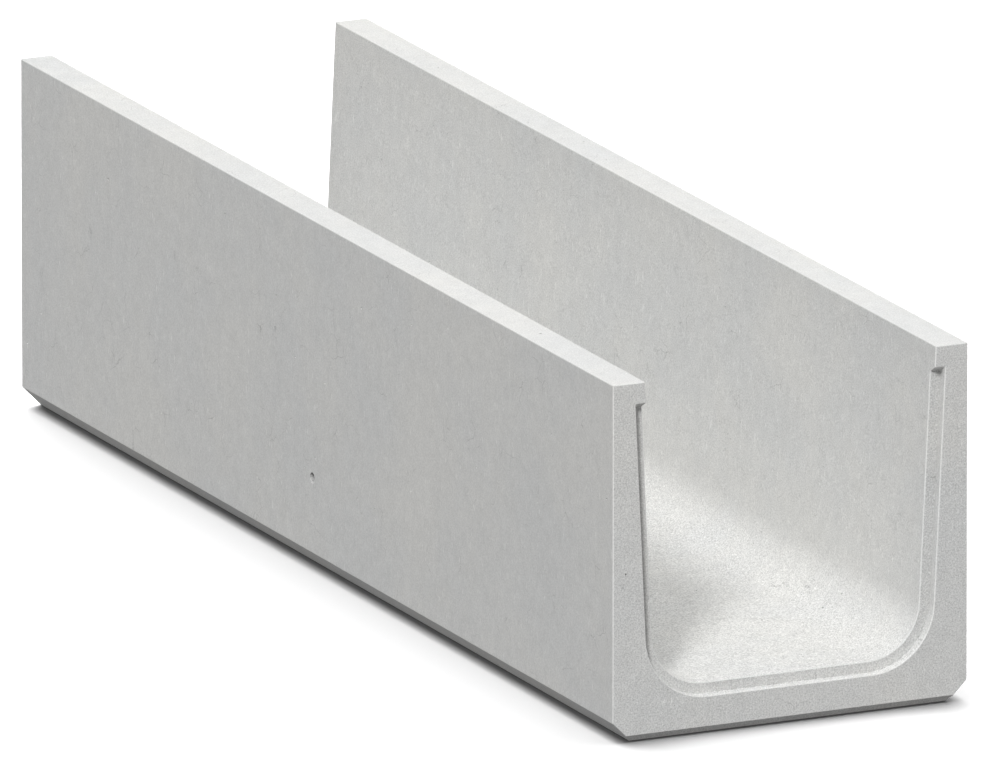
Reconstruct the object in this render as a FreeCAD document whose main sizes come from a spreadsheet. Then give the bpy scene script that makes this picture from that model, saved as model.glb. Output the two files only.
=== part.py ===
# Channel drain: one precast concrete U channel, open along its top and at both ends.
#
# Frame: X runs across the channel, Y along it and Z up. The origin is the middle of the
# underside. The end with the seal rebate faces -Y and the plain end faces +Y.

import FreeCAD, Part

import math
import os

import Sketcher
from FreeCAD import Placement, Rotation, Vector

NODE = "channel_body"
AXIS_POINT = (-1, 1)
HORIZONTAL_AXIS, VERTICAL_AXIS = -1, -2
START, END, CENTRE = range(1, 4)

TOLERANCE = 1e-6
PROBE_STEP = 0.05
SMOOTH_JOIN = 0.1

# Driving sizes, in millimetres and degrees
SIZES = [
    ("overall_length", "1000", "length of one element"),
    ("outer_width", "275", "width over both outer faces"),
    ("outer_height", "260", "underside to top faces"),
    ("top_wall", "25", "wall thickness at the top face"),
    ("wall_draft", "2.7", "lean of the inner wall faces from upright"),
    ("floor_thickness", "35", "underside to channel floor"),
    ("corner_radius", "40", "round between inner wall and floor"),
    ("base_chamfer", "15", "leg of the bevel along both lower long edges"),
    ("foot_chamfer", "5", "leg of the bevel under the jointed end"),
    ("seal_width", "8", "how far the seal rebate reaches into wall and floor"),
    ("seal_depth", "7.5", "how far the seal rebate reaches along the channel"),
    ("head_height", "15.5", "full wall left above the rebate, at the end face"),
    ("head_slope", "30", "fall of the rebate's ceiling inwards from the end face"),
    ("socket_diameter", "8", "bore of the handling socket"),
    ("socket_depth", "15", "depth of the handling socket"),
    ("socket_height", "70", "underside to the socket's axis"),
    ("arris_radius", "0.9", "rounding of the cast edges"),
    ("corner_ease", "0.6", "extra rounding of the rebate's upper corners"),
]


def make_sheet(doc):
    """Put every driving size into the spreadsheet, one alias to a row."""
    sheet = doc.addObject("Spreadsheet::Sheet", "sizes")
    for row, (alias, value, meaning) in enumerate(SIZES, start=1):
        sheet.set(f"A{row}", meaning)
        sheet.set(f"B{row}", value)
        sheet.setAlias(f"B{row}", alias)
    doc.recompute()
    return sheet


def origin_plane(body, role):
    """Return one of the body's own origin planes."""
    for feature in body.Origin.OriginFeatures:
        if feature.Role == role:
            return feature
    raise ValueError(f"no origin plane {role}")


def new_sketch(body, name, role, offset_expression):
    """Add a sketch on an origin plane, moved along the plane's normal by an expression."""
    sketch = body.newObject("Sketcher::SketchObject", name)
    sketch.AttachmentSupport = [(origin_plane(body, role), "")]
    sketch.MapMode = "FlatFace"
    sketch.setExpression("AttachmentOffset.Base.z", offset_expression)
    return sketch


def constrain(sketch, *rule):
    """Add a geometric constraint."""
    return sketch.addConstraint(Sketcher.Constraint(*rule))


def dimension(sketch, name, expression, *rule):
    """Add a named dimension and bind it to an expression of the sheet's sizes."""
    index = constrain(sketch, *rule)
    sketch.renameConstraint(index, name)
    sketch.setExpression(f"Constraints.{name}", expression)


def line(x_start, z_start, x_end, z_end):
    """Return a straight sketch line."""
    return Part.LineSegment(Vector(x_start, z_start, 0), Vector(x_end, z_end, 0))


def arc(x_centre, z_centre, radius, first_angle, last_angle):
    """Return a sketch arc that runs anticlockwise between two angles in radians."""
    circle = Part.Circle(Vector(x_centre, z_centre, 0), Vector(0, 0, 1), radius)
    return Part.ArcOfCircle(circle, first_angle, last_angle)


def draw_outer_section(sketch, size):
    """Draw the outside of the channel: a rectangle with both lower corners bevelled."""
    half = size("outer_width") / 2
    height = size("outer_height")
    bevel = size("base_chamfer")
    foot = half - bevel
    sketch.addGeometry(line(-foot, 0, foot, 0))
    sketch.addGeometry(line(foot, 0, half, bevel))
    sketch.addGeometry(line(half, bevel, half, height))
    sketch.addGeometry(line(half, height, -half, height))
    sketch.addGeometry(line(-half, height, -half, bevel))
    sketch.addGeometry(line(-half, bevel, -foot, 0))
    underside, right_bevel, right_face, top, left_face = range(5)
    for edge in range(6):
        constrain(sketch, "Coincident", edge, END, (edge + 1) % 6, START)
    constrain(sketch, "Symmetric", underside, START, underside, END, VERTICAL_AXIS)
    constrain(sketch, "Symmetric", top, START, top, END, VERTICAL_AXIS)
    constrain(sketch, "PointOnObject", underside, START, HORIZONTAL_AXIS)
    constrain(sketch, "Vertical", right_face)
    constrain(sketch, "Vertical", left_face)
    constrain(sketch, "Equal", right_face, left_face)
    dimension(sketch, "width", "sizes.outer_width", "DistanceX", top, END, top, START, 2 * half)
    dimension(
        sketch, "height", "sizes.outer_height", "DistanceY", *AXIS_POINT, top, START, height
    )
    dimension(
        sketch, "bevel_across", "sizes.base_chamfer",
        "DistanceX", right_bevel, START, right_bevel, END, bevel,
    )
    dimension(
        sketch, "bevel_up", "sizes.base_chamfer",
        "DistanceY", right_bevel, START, right_bevel, END, bevel,
    )


def draw_trough_section(sketch, size, reach, reach_expression, top, top_expression):
    """Draw the rounded trapezoid of the trough, grown outwards by reach and closed at top.

    The side lines stay on the same draft at every height, so that sections closed at
    different heights still lie in common faces.
    """
    lean = math.radians(size("wall_draft"))
    below = size("outer_height") - top
    mouth = size("outer_width") / 2 - size("top_wall") + reach / math.cos(lean)
    half = mouth - below * math.tan(lean)
    floor = size("floor_thickness") - reach
    radius = size("corner_radius") + reach
    z_centre = floor + radius
    x_centre = half + ((z_centre - top) * math.sin(lean) - radius) / math.cos(lean)
    x_tangent = x_centre + radius * math.cos(lean)
    z_tangent = z_centre - radius * math.sin(lean)
    down = -math.pi / 2
    sketch.addGeometry(line(-half, top, half, top))
    sketch.addGeometry(line(x_tangent, z_tangent, half, top))
    sketch.addGeometry(arc(x_centre, z_centre, radius, down, -lean))
    sketch.addGeometry(line(x_centre, floor, -x_centre, floor))
    sketch.addGeometry(arc(-x_centre, z_centre, radius, math.pi + lean, 3 * math.pi / 2))
    sketch.addGeometry(line(-x_tangent, z_tangent, -half, top))
    mouth_line, right_wall, right_corner, floor_line, left_corner, left_wall = range(6)
    constrain(sketch, "Coincident", mouth_line, END, right_wall, END)
    constrain(sketch, "Coincident", mouth_line, START, left_wall, END)
    constrain(sketch, "Tangent", right_wall, START, right_corner, END)
    constrain(sketch, "Tangent", right_corner, START, floor_line, START)
    constrain(sketch, "Tangent", floor_line, END, left_corner, END)
    constrain(sketch, "Tangent", left_corner, START, left_wall, START)
    constrain(sketch, "Symmetric", mouth_line, START, mouth_line, END, VERTICAL_AXIS)
    constrain(sketch, "Symmetric", floor_line, START, floor_line, END, VERTICAL_AXIS)
    constrain(sketch, "Equal", right_corner, left_corner)
    dimension(
        sketch, "corner", f"sizes.corner_radius + {reach_expression}",
        "Radius", right_corner, radius,
    )
    dimension(
        sketch, "floor_level", f"sizes.floor_thickness - {reach_expression}",
        "DistanceY", *AXIS_POINT, floor_line, START, floor,
    )
    dimension(
        sketch, "top_level", top_expression,
        "DistanceY", *AXIS_POINT, mouth_line, END, top,
    )
    dimension(
        sketch, "lean", "(90 - sizes.wall_draft) * 1 deg",
        "Angle", right_wall, math.pi / 2 - lean,
    )
    draft = "sizes.wall_draft * 1 deg"
    dimension(
        sketch, "mouth",
        f"sizes.outer_width - 2 * sizes.top_wall + 2 * {reach_expression} / cos({draft})"
        f" - 2 * (sizes.outer_height - ({top_expression})) * tan({draft})",
        "DistanceX", mouth_line, START, mouth_line, END, 2 * half,
    )


def set_both_sides(feature):
    """Make a pad or pocket run equally to both sides of its sketch."""
    if "SideType" in feature.PropertiesList:
        feature.SideType = "Symmetric"
    else:
        feature.Midplane = True


def removed(before, after, what):
    """Stop if a cutting feature took nothing away."""
    lost = before.Shape.Volume - after.Shape.Volume
    if lost <= 0:
        raise RuntimeError(f"{what} removes nothing")
    print(f"{what}: {lost / 1000:.2f} cm3 removed")


def add_outside(doc, body, size):
    """Pad the outer section along the whole length."""
    sketch = new_sketch(body, "outer_section", "XZ_Plane", "0")
    draw_outer_section(sketch, size)
    pad = body.newObject("PartDesign::Pad", "outside")
    pad.Profile = sketch
    set_both_sides(pad)
    pad.setExpression("Length", "sizes.overall_length")
    doc.recompute()
    return pad


def add_seal_rebate(doc, body, size, base):
    """Cut the seal rebate, a step that runs round the trough at the jointed end.

    It reaches further into wall and floor than the trough does, and stops under a head of
    full wall at either side.
    """
    head = size("outer_height") - size("head_height")
    sketch = new_sketch(body, "rebate_section", "XZ_Plane", "sizes.overall_length / 2")
    draw_trough_section(
        sketch, size, size("seal_width"), "sizes.seal_width",
        head, "sizes.outer_height - sizes.head_height",
    )
    pocket = body.newObject("PartDesign::Pocket", "seal_rebate")
    pocket.Profile = sketch
    pocket.setExpression("Length", "sizes.seal_depth")
    doc.recompute()
    removed(base, pocket, "seal rebate")
    return pocket


def add_head_slopes(doc, body, size):
    """Fill a wedge under the rebate's ceiling, so that the ceiling falls inwards.

    The wedge runs across the rebate and ends inside both walls. The trough, which is cut
    later, parts it into one sloping ceiling under each head.
    """
    end = -size("overall_length") / 2
    back = end + size("seal_depth")
    head = size("outer_height") - size("head_height")
    fall = size("seal_depth") * math.tan(math.radians(size("head_slope")))
    sketch = new_sketch(body, "wedge_section", "YZ_Plane", "0")
    sketch.addGeometry(line(end, head, back, head))
    sketch.addGeometry(line(back, head, back, head - fall))
    sketch.addGeometry(line(back, head - fall, end, head))
    ceiling, rear = range(2)
    for edge in range(3):
        constrain(sketch, "Coincident", edge, END, (edge + 1) % 3, START)
    constrain(sketch, "Horizontal", ceiling)
    constrain(sketch, "Vertical", rear)
    dimension(
        sketch, "end_face", "sizes.overall_length / 2",
        "DistanceX", ceiling, START, *AXIS_POINT, -end,
    )
    dimension(
        sketch, "depth", "sizes.seal_depth",
        "DistanceX", ceiling, START, ceiling, END, back - end,
    )
    dimension(
        sketch, "head_level", "sizes.outer_height - sizes.head_height",
        "DistanceY", *AXIS_POINT, ceiling, START, head,
    )
    dimension(
        sketch, "fall", "sizes.seal_depth * tan(sizes.head_slope * 1 deg)",
        "DistanceY", rear, END, rear, START, fall,
    )
    wedge = body.newObject("PartDesign::Pad", "head_slopes")
    wedge.Profile = sketch
    set_both_sides(wedge)
    wedge.setExpression("Length", "sizes.outer_width - (sizes.top_wall - sizes.seal_width)")
    doc.recompute()
    return wedge


def edge_names(shape, wanted):
    """Return the names of a shape's edges that satisfy wanted."""
    return [f"Edge{index}" for index, edge in enumerate(shape.Edges, start=1) if wanted(edge)]


def middle_of(edge):
    """Return the point half way along an edge."""
    return edge.valueAt((edge.FirstParameter + edge.LastParameter) / 2)


def is_arris(solid, edge):
    """Tell whether an edge stands out of the solid, with open space on both sides of it."""
    faces = solid.ancestorsOfType(edge, Part.Face)
    if len(faces) != 2:
        return False
    middle = middle_of(edge)
    first, second = (face.normalAt(*face.Surface.parameter(middle)) for face in faces)
    across = first - second
    if across.Length < SMOOTH_JOIN:
        return False
    return not any(
        solid.isInside(middle + across * step, TOLERANCE, True)
        for step in (-PROBE_STEP, PROBE_STEP)
    )


def round_edges(doc, body, base, name, names, radius_expression):
    """Round the named edges of a feature."""
    rounding = body.newObject("PartDesign::Fillet", name)
    rounding.Base = (base, names)
    rounding.setExpression("Radius", radius_expression)
    doc.recompute()
    print(f"{name}: {len(names)} edges rounded")
    return rounding


def soften_rebate(doc, body, size, base):
    """Round the rebate's two upper corners, then the arris all round its mouth.

    The corners come first and are a little rounder than the arris, so that the arris turns
    through them as one smooth loop.
    """
    end = -size("overall_length") / 2
    head = size("outer_height") - size("head_height")
    back = end + size("seal_depth")

    def is_upper_corner(edge):
        ends = [vertex.Point for vertex in edge.Vertexes]
        touches_mouth = any(abs(p.y - end) < TOLERANCE and abs(p.z - head) < TOLERANCE for p in ends)
        return touches_mouth and any(abs(p.y - back) < TOLERANCE for p in ends)

    corners = round_edges(
        doc, body, base, "rebate_corners", edge_names(base.Shape, is_upper_corner),
        "sizes.arris_radius + sizes.corner_ease",
    )
    faces = corners.Shape.Faces
    end_face = min(faces, key=lambda face: face.CenterOfMass.y)
    inner = [wire for wire in end_face.Wires if not wire.isSame(end_face.OuterWire)]
    rim = [edge for wire in inner for edge in wire.Edges]
    names = edge_names(corners.Shape, lambda edge: any(edge.isSame(other) for other in rim))
    return round_edges(doc, body, corners, "rebate_rim", names, "sizes.arris_radius")


def add_trough(doc, body, size, base):
    """Cut the open trough from end to end."""
    sketch = new_sketch(body, "trough_section", "XZ_Plane", "0")
    draw_trough_section(sketch, size, 0, "0", size("outer_height"), "sizes.outer_height")
    pocket = body.newObject("PartDesign::Pocket", "trough")
    pocket.Profile = sketch
    set_both_sides(pocket)
    pocket.setExpression("Length", "sizes.overall_length")
    doc.recompute()
    removed(base, pocket, "trough")
    return pocket


def add_foot_bevel(doc, body, size, base):
    """Bevel the lower edge of the jointed end face."""
    end = -size("overall_length") / 2

    def is_lower_end_edge(edge):
        middle = middle_of(edge)
        return abs(middle.y - end) < TOLERANCE and abs(middle.z) < TOLERANCE

    bevel = body.newObject("PartDesign::Chamfer", "foot_bevel")
    bevel.Base = (base, edge_names(base.Shape, is_lower_end_edge))
    bevel.setExpression("Size", "sizes.foot_chamfer")
    doc.recompute()
    removed(base, bevel, "foot bevel")
    return bevel


def soften_arrises(doc, body, base):
    """Round every outstanding edge that is still sharp, and leave re-entrant ones as cast."""
    solid = base.Shape.Solids[0]
    names = edge_names(base.Shape, lambda edge: is_arris(solid, edge))
    return round_edges(doc, body, base, "arrises", names, "sizes.arris_radius")


def add_sockets(doc, body, size, base):
    """Sink the blind handling socket into the left face and mirror it to the right face."""
    sketch = new_sketch(body, "socket_mouth", "YZ_Plane", "-sizes.outer_width / 2")
    radius = size("socket_diameter") / 2
    sketch.addGeometry(Part.Circle(Vector(0, size("socket_height"), 0), Vector(0, 0, 1), radius))
    centre = (0, CENTRE)
    constrain(sketch, "PointOnObject", *centre, VERTICAL_AXIS)
    dimension(
        sketch, "level", "sizes.socket_height",
        "DistanceY", *AXIS_POINT, *centre, size("socket_height"),
    )
    dimension(sketch, "bore", "sizes.socket_diameter", "Diameter", 0, 2 * radius)
    doc.recompute()
    socket = body.newObject("PartDesign::Hole", "left_socket")
    socket.Profile = sketch
    doc.recompute()
    socket.DepthType = "Dimension"
    socket.DrillPoint = "Flat"
    socket.Reversed = True
    socket.setExpression("Diameter", "sizes.socket_diameter")
    socket.setExpression("Depth", "sizes.socket_depth")
    doc.recompute()
    removed(base, socket, "left socket")
    pair = body.newObject("PartDesign::Mirrored", "socket_pair")
    pair.Originals = [socket]
    pair.MirrorPlane = (origin_plane(body, "YZ_Plane"), [""])
    body.Tip = pair
    doc.recompute()
    removed(socket, pair, "right socket")
    return pair


def check_document(doc, bodies):
    """Stop if any object has failed or a sub-part's shape isn't one valid solid."""
    for item in doc.Objects:
        if "Invalid" in item.State or "Error" in item.State:
            raise RuntimeError(f"{item.Label} has failed: {item.State}")
    for body in bodies:
        if body.Shape.isNull() or not body.Shape.isValid():
            raise RuntimeError(f"{body.Label} has no valid shape")
        if len(body.Shape.Solids) != 1:
            raise RuntimeError(f"{body.Label} isn't one solid")


def main():
    """Build the channel and write its step file."""
    doc = FreeCAD.newDocument("channel_drain")
    sheet = make_sheet(doc)

    def size(alias):
        return float(sheet.get(alias))

    body = doc.addObject("PartDesign::Body", NODE)
    body.Label = NODE
    body.Placement = Placement(Vector(0, 0, 0), Rotation())
    outside = add_outside(doc, body, size)
    add_seal_rebate(doc, body, size, outside)
    wedge = add_head_slopes(doc, body, size)
    rim = soften_rebate(doc, body, size, wedge)
    trough = add_trough(doc, body, size, rim)
    bevel = add_foot_bevel(doc, body, size, trough)
    arrises = soften_arrises(doc, body, bevel)
    add_sockets(doc, body, size, arrises)
    check_document(doc, [body])
    os.makedirs("parts", exist_ok=True)
    body.Shape.exportStep(f"parts/{body.Label}.step")
    box = body.Shape.optimalBoundingBox(False)
    print(f"{body.Label}: {box.XLength:.2f} x {box.YLength:.2f} x {box.ZLength:.2f} mm")
    print(f"volume {body.Shape.Volume / 1e6:.4f} litres, {len(body.Shape.Faces)} faces")


main()
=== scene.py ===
# %% [markdown]
# # A concrete drainage channel, one metre long
#
# The object is a precast U channel: two upright walls, a floor with rounded inner corners, a
# seal rebate round the end that faces the camera, and bevels along its foot. It is cast in one
# piece, so the scene has one piece too. What makes it look real is in small things: rounded
# arrises that catch the light, blow-holes that air left against the mould, fine sand in the
# skin, and clouds of paler and darker cement paste.
#
# The scene is built around the measured model, which is loaded as a fixed frame. Nothing in it
# is moved or resized. All lengths are in metres.

import math
import random

import bmesh
import bpy
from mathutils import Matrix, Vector, noise


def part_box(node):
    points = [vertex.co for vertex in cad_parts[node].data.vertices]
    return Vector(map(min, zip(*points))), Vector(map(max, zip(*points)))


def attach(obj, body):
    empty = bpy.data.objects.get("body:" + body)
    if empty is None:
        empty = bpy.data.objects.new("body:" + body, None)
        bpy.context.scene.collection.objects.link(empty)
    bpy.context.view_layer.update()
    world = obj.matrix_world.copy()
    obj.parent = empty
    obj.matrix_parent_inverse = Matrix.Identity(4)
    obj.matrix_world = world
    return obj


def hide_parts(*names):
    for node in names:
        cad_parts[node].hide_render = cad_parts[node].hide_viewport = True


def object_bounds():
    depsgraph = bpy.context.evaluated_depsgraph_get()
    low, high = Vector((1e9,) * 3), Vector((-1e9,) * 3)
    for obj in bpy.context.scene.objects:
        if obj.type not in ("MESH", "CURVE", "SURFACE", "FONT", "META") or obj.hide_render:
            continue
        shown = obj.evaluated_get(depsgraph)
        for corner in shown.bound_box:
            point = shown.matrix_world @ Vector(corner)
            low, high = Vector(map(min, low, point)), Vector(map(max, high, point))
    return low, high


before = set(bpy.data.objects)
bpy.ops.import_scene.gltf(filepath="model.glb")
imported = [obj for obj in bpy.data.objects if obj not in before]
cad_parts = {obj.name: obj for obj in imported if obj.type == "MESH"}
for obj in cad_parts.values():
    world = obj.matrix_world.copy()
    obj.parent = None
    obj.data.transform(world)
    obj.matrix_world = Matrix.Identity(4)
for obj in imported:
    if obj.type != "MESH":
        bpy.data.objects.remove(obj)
cad_low, cad_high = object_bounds()
NODE = "channel_body"
print("measured model:", [round(side, 4) for side in cad_high - cad_low], "m")

# %% [markdown]
# ## Sizes
#
# The overall sizes come from the measured model. The others are the maker's own: wall
# thickness, draft, bevels and so on, as on the mould. Every one of them could also be read off
# the mesh, but a named size says what it is. The head is the bit of wall that closes the seal
# rebate at its top, and the land is the flat square round a socket, counted from its middle.

# %% Sizes of the casting
MM = 0.001
low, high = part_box(NODE)
HALF_WIDTH = (high.x - low.x) / 2
HALF_LENGTH = (high.y - low.y) / 2
HEIGHT = high.z - low.z

TOP_WALL = 25 * MM
WALL_DRAFT = math.radians(2.7)
FLOOR_THICKNESS = 35 * MM
CORNER_RADIUS = 40 * MM
BASE_BEVEL = 15 * MM
FOOT_BEVEL = 5 * MM
SEAL_REACH = 8 * MM
SEAL_DEPTH = 7.5 * MM
HEAD_HEIGHT = 15.5 * MM
HEAD_SLOPE = math.radians(30)
ARRIS_RADIUS = 0.75 * MM
REBATE_CORNER_RADIUS = 1.5 * MM
SOCKET_RADIUS = 4 * MM
SOCKET_DEPTH = 15 * MM
SOCKET_HEIGHT = 70 * MM
SOCKET_LAND = 6.5 * MM
print("half section:", round(HALF_WIDTH, 4), "m wide,", round(HEIGHT, 4), "m high")

# %% [markdown]
# ## The section, as stations round the U
#
# A channel could be made by cutting a trough out of a bar with a boolean. The cut works, but it
# leaves long thin faces that neither shade nor bevel well. Here the casting is seen as a thick
# sheet bent into a U. A station is a place along the bend. It knows two points, one on the
# inner skin and one on the outer, and everything between them follows.
#
# The drafted wall has to run into the round corner without a kink, so the middle of the corner
# is worked out first. It lies one radius inside the line of the wall and one above the floor.

# %% Where the lines of the section meet
corner_z = FLOOR_THICKNESS + CORNER_RADIUS
mouth_x = HALF_WIDTH - TOP_WALL
corner_x = (
    mouth_x
    + ((corner_z - HEIGHT) * math.sin(WALL_DRAFT) - CORNER_RADIUS) / math.cos(WALL_DRAFT)
)
tangent_z = corner_z - CORNER_RADIUS * math.sin(WALL_DRAFT)
ceiling_front_z = HEIGHT - HEAD_HEIGHT
ceiling_back_z = ceiling_front_z - SEAL_DEPTH * math.tan(HEAD_SLOPE)
print("the inner corner turns round", round(corner_x, 4), round(corner_z, 4))

# %% [markdown]
# ### Three kinds of station
#
# The inner skin runs down the drafted wall, round the corner as a true arc and along the floor.
# `reach` grows that outline outwards, which gives the outline of the seal rebate.

# %% Write the three kinds of station
def spread(first, last, steps):
    """Values from first to last in even steps, both ends included."""
    return [first + (last - first) * step / steps for step in range(steps + 1)]


def wall_station(z):
    """A station on the drafted wall, at a height."""
    def inner(reach):
        x = mouth_x - (HEIGHT - z) * math.tan(WALL_DRAFT) + reach / math.cos(WALL_DRAFT)
        return x, z
    return inner


def corner_station(angle):
    """A station on the rounded corner, at an angle below the horizontal."""
    def inner(reach):
        radius = CORNER_RADIUS + reach
        return corner_x + radius * math.cos(angle), corner_z + radius * math.sin(angle)
    return inner


def floor_station(x):
    """A station on the level floor, at a distance from the middle."""
    def inner(reach):
        return x, FLOOR_THICKNESS - reach
    return inner


print("a wall station half way up stands at", [round(v, 4) for v in wall_station(HEIGHT / 2)(0)])

# %% [markdown]
# ### How many stations, and which points they join
#
# Steps are close enough together that the arc looks round and that one brick is about as long
# as it is wide. The outer skin runs down the upright face, where one pair of points frames the
# socket, so that it gets a square face of its own. From there it fans out, over the bevel and
# along the underside.
# Only the right half is listed, and the left half is its mirror image.

# %% List the stations of one half
HEAD_STATIONS = 3
WALL_STEPS = 22
CORNER_STEPS = 12
FLOOR_STEPS = 8
OUTER_DROP_STEPS = 3
OUTER_BEVEL_STEPS = 2


def half_stations():
    """Pairs of an inner outline and an outer point, from the top of the right wall down."""
    land_top = SOCKET_HEIGHT + SOCKET_LAND
    land_foot = SOCKET_HEIGHT - SOCKET_LAND
    head = spread(HEIGHT, ceiling_back_z, HEAD_STATIONS)
    wall = head + spread(ceiling_back_z, tangent_z, WALL_STEPS)[1:]
    stations = [(wall_station(z), (HALF_WIDTH, z)) for z in wall[:-1]]
    stations.append((wall_station(tangent_z), (HALF_WIDTH, land_top)))
    bevel_x = HALF_WIDTH - BASE_BEVEL
    under_steps = CORNER_STEPS - 1 - OUTER_DROP_STEPS - OUTER_BEVEL_STEPS
    outer = [(HALF_WIDTH, z) for z in spread(land_foot, BASE_BEVEL, OUTER_DROP_STEPS)]
    outer += [
        (HALF_WIDTH - BASE_BEVEL * share, BASE_BEVEL * (1 - share))
        for share in spread(0, 1, OUTER_BEVEL_STEPS)[1:]
    ]
    outer += [(x, 0) for x in spread(bevel_x, corner_x, under_steps)[1:]]
    angles = spread(-WALL_DRAFT, -math.pi / 2, CORNER_STEPS)[1:]
    stations += [(corner_station(angle), point) for angle, point in zip(angles, outer)]
    stations += [(floor_station(x), (x, 0)) for x in spread(corner_x, 0, FLOOR_STEPS)[1:]]
    return stations


right_half = half_stations()
MIDDLE = len(right_half) - 1
STATIONS = 2 * MIDDLE
print(STATIONS + 1, "stations round the U, the middle one is", MIDDLE)

# %% [markdown]
# ## A lattice of bricks
#
# Stations, layers through the wall and rows along the channel make a lattice. Between its
# points lie bricks, and the casting is all bricks but one strip: the seal rebate is the strip
# that is left out. The skin is then every brick side that has no brick next to it. The rule is
# short, it can't leave a gap, and every face comes out a neat four-sided one.
#
# Two slopes are made by moving lattice points. Under the heads the first row sits higher than
# the second, so that the ceiling of the rebate falls inwards. Under the end face the first row
# is raised along the long bevels and the second lies further in, which is the foot bevel.

# %% Points of the lattice
LAYERS = 4
REBATE_LAYERS = 1
ROWS_EACH_HALF = 60


def row_places():
    """Where the rows lie along the channel. One pair frames the socket at mid length."""
    back = -HALF_LENGTH + SEAL_DEPTH
    front_half = spread(back, -SOCKET_LAND, ROWS_EACH_HALF)
    far_half = spread(SOCKET_LAND, HALF_LENGTH, ROWS_EACH_HALF)
    return [-HALF_LENGTH] + front_half + far_half


rows = row_places()
ROWS = len(rows) - 1


def station_at(index):
    """The station's inner outline, outer point and side, counted from the left wall's top."""
    side = 1 if index > MIDDLE else -1
    inner, outer = right_half[STATIONS - index if index > MIDDLE else index]
    return inner, outer, side


def head_edge(index):
    """Whether a station lies where a head ends and the rebate begins."""
    return index in (HEAD_STATIONS, STATIONS - HEAD_STATIONS)


def lattice_point(index, layer, row):
    """The point where a station, a layer and a row cross."""
    inner, (outer_x, outer_z), side = station_at(index)
    y = rows[row]
    if layer <= REBATE_LAYERS:
        x, z = inner(SEAL_REACH * layer / REBATE_LAYERS)
    else:
        x, z = inner(SEAL_REACH)
        share = (layer - REBATE_LAYERS) / (LAYERS - REBATE_LAYERS)
        if row == 0 and outer_z == 0:
            outer_x *= (HALF_WIDTH - BASE_BEVEL + FOOT_BEVEL) / (HALF_WIDTH - BASE_BEVEL)
            outer_z = FOOT_BEVEL
        elif row == 1 and outer_z == 0:
            y = -HALF_LENGTH + FOOT_BEVEL
        x += (outer_x - x) * share
        z += (outer_z - z) * share
    if row == 0 and head_edge(index):
        rise = ceiling_front_z - ceiling_back_z
        z += rise
        if layer <= REBATE_LAYERS:
            x += rise * math.tan(WALL_DRAFT)
    return Vector((side * x, y, z))


print(STATIONS * LAYERS * ROWS, "places for a brick")

# %% [markdown]
# ### Which sides of a brick are skin
#
# Each brick has six sides. A side is skin when there is no brick beyond it. The table names the
# neighbour beyond each side and the side's four corners, all as steps from the brick's own place.
# Corners are shared through a dictionary, so that neighbouring faces meet in one point and the
# skin is closed.

# %% Lay the bricks and keep the open sides
SIDES = {
    (-1, 0, 0): ((0, 0, 0), (0, 0, 1), (0, 1, 1), (0, 1, 0)),
    (1, 0, 0): ((1, 0, 0), (1, 1, 0), (1, 1, 1), (1, 0, 1)),
    (0, -1, 0): ((0, 0, 0), (1, 0, 0), (1, 0, 1), (0, 0, 1)),
    (0, 1, 0): ((0, 1, 0), (0, 1, 1), (1, 1, 1), (1, 1, 0)),
    (0, 0, -1): ((0, 0, 0), (0, 1, 0), (1, 1, 0), (1, 0, 0)),
    (0, 0, 1): ((0, 0, 1), (1, 0, 1), (1, 1, 1), (0, 1, 1)),
}


def is_brick(index, layer, row):
    """Whether the casting has a brick there. The rebate has none, between its two heads."""
    if not (0 <= index < STATIONS and 0 <= layer < LAYERS and 0 <= row < ROWS):
        return False
    in_rebate = HEAD_STATIONS <= index < STATIONS - HEAD_STATIONS
    return not (in_rebate and layer < REBATE_LAYERS and row == 0)


def build_skin():
    """The skin of all bricks, with its faces looking outwards."""
    shell = bmesh.new()
    corners = {}

    def corner(place):
        if place not in corners:
            corners[place] = shell.verts.new(lattice_point(*place))
        return corners[place]

    for index in range(STATIONS):
        for layer in range(LAYERS):
            for row in range(ROWS):
                if not is_brick(index, layer, row):
                    continue
                for (di, dl, dr), side in SIDES.items():
                    if not is_brick(index + di, layer + dl, row + dr):
                        shell.faces.new(
                            corner((index + a, layer + b, row + c)) for a, b, c in side
                        )
    bmesh.ops.recalc_face_normals(shell, faces=shell.faces)
    shell.normal_update()
    return shell


shell = build_skin()
print(len(shell.faces), "faces of skin, volume", round(shell.calc_volume() * 1000, 3), "litres")

# %% [markdown]
# ## The skin isn't quite flat
#
# A steel mould is flat to a few tenths of a millimetre, not better. A gentle, wide unevenness
# breaks up the reflection of the lamps. Every point moves inwards only, so that the casting
# stays within its measured size, and the underside stays flat to stand on. It is done while the
# skin is still plain, because the holes that come next should keep their round shape.

# %% Let the skin waver
WAVER = 0.25 * MM
WAVER_SPAN = 90 * MM
OFF_THE_GROUND = 0.001 * MM


def waver(shell):
    """Press the skin in, by nothing up to WAVER. Gives back the deepest hollow."""
    moves = [
        (vert, WAVER * min(1.0, max(0.0, 0.5 + 0.5 * noise.noise(vert.co / WAVER_SPAN))))
        for vert in shell.verts
        if vert.co.z > OFF_THE_GROUND
    ]
    for vert, depth in moves:
        vert.co -= vert.normal * depth
    shell.normal_update()
    return max(depth for _, depth in moves)


print("deepest hollow", round(waver(shell) / MM, 3), "mm")

# %% [markdown]
# ## Round holes sunk into the skin
#
# The socket at mid length and every blow-hole are the same thing at different sizes: a round
# mouth in one face of the skin, and rings that go down from it. A boolean could cut them too,
# but hundreds of cuts would be slow and would leave the face around each one in slivers. Here
# the face is taken out, and a strip of triangles is sewn between its four corners and the round
# mouth. A triangle may only stand on a side of the mouth that its corner can see, or the strip
# would fold over itself. Where two corners see the side, the nearer one gets it.

# %% Sink a round hole into one face
FULL_TURN = 2 * math.pi


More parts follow.
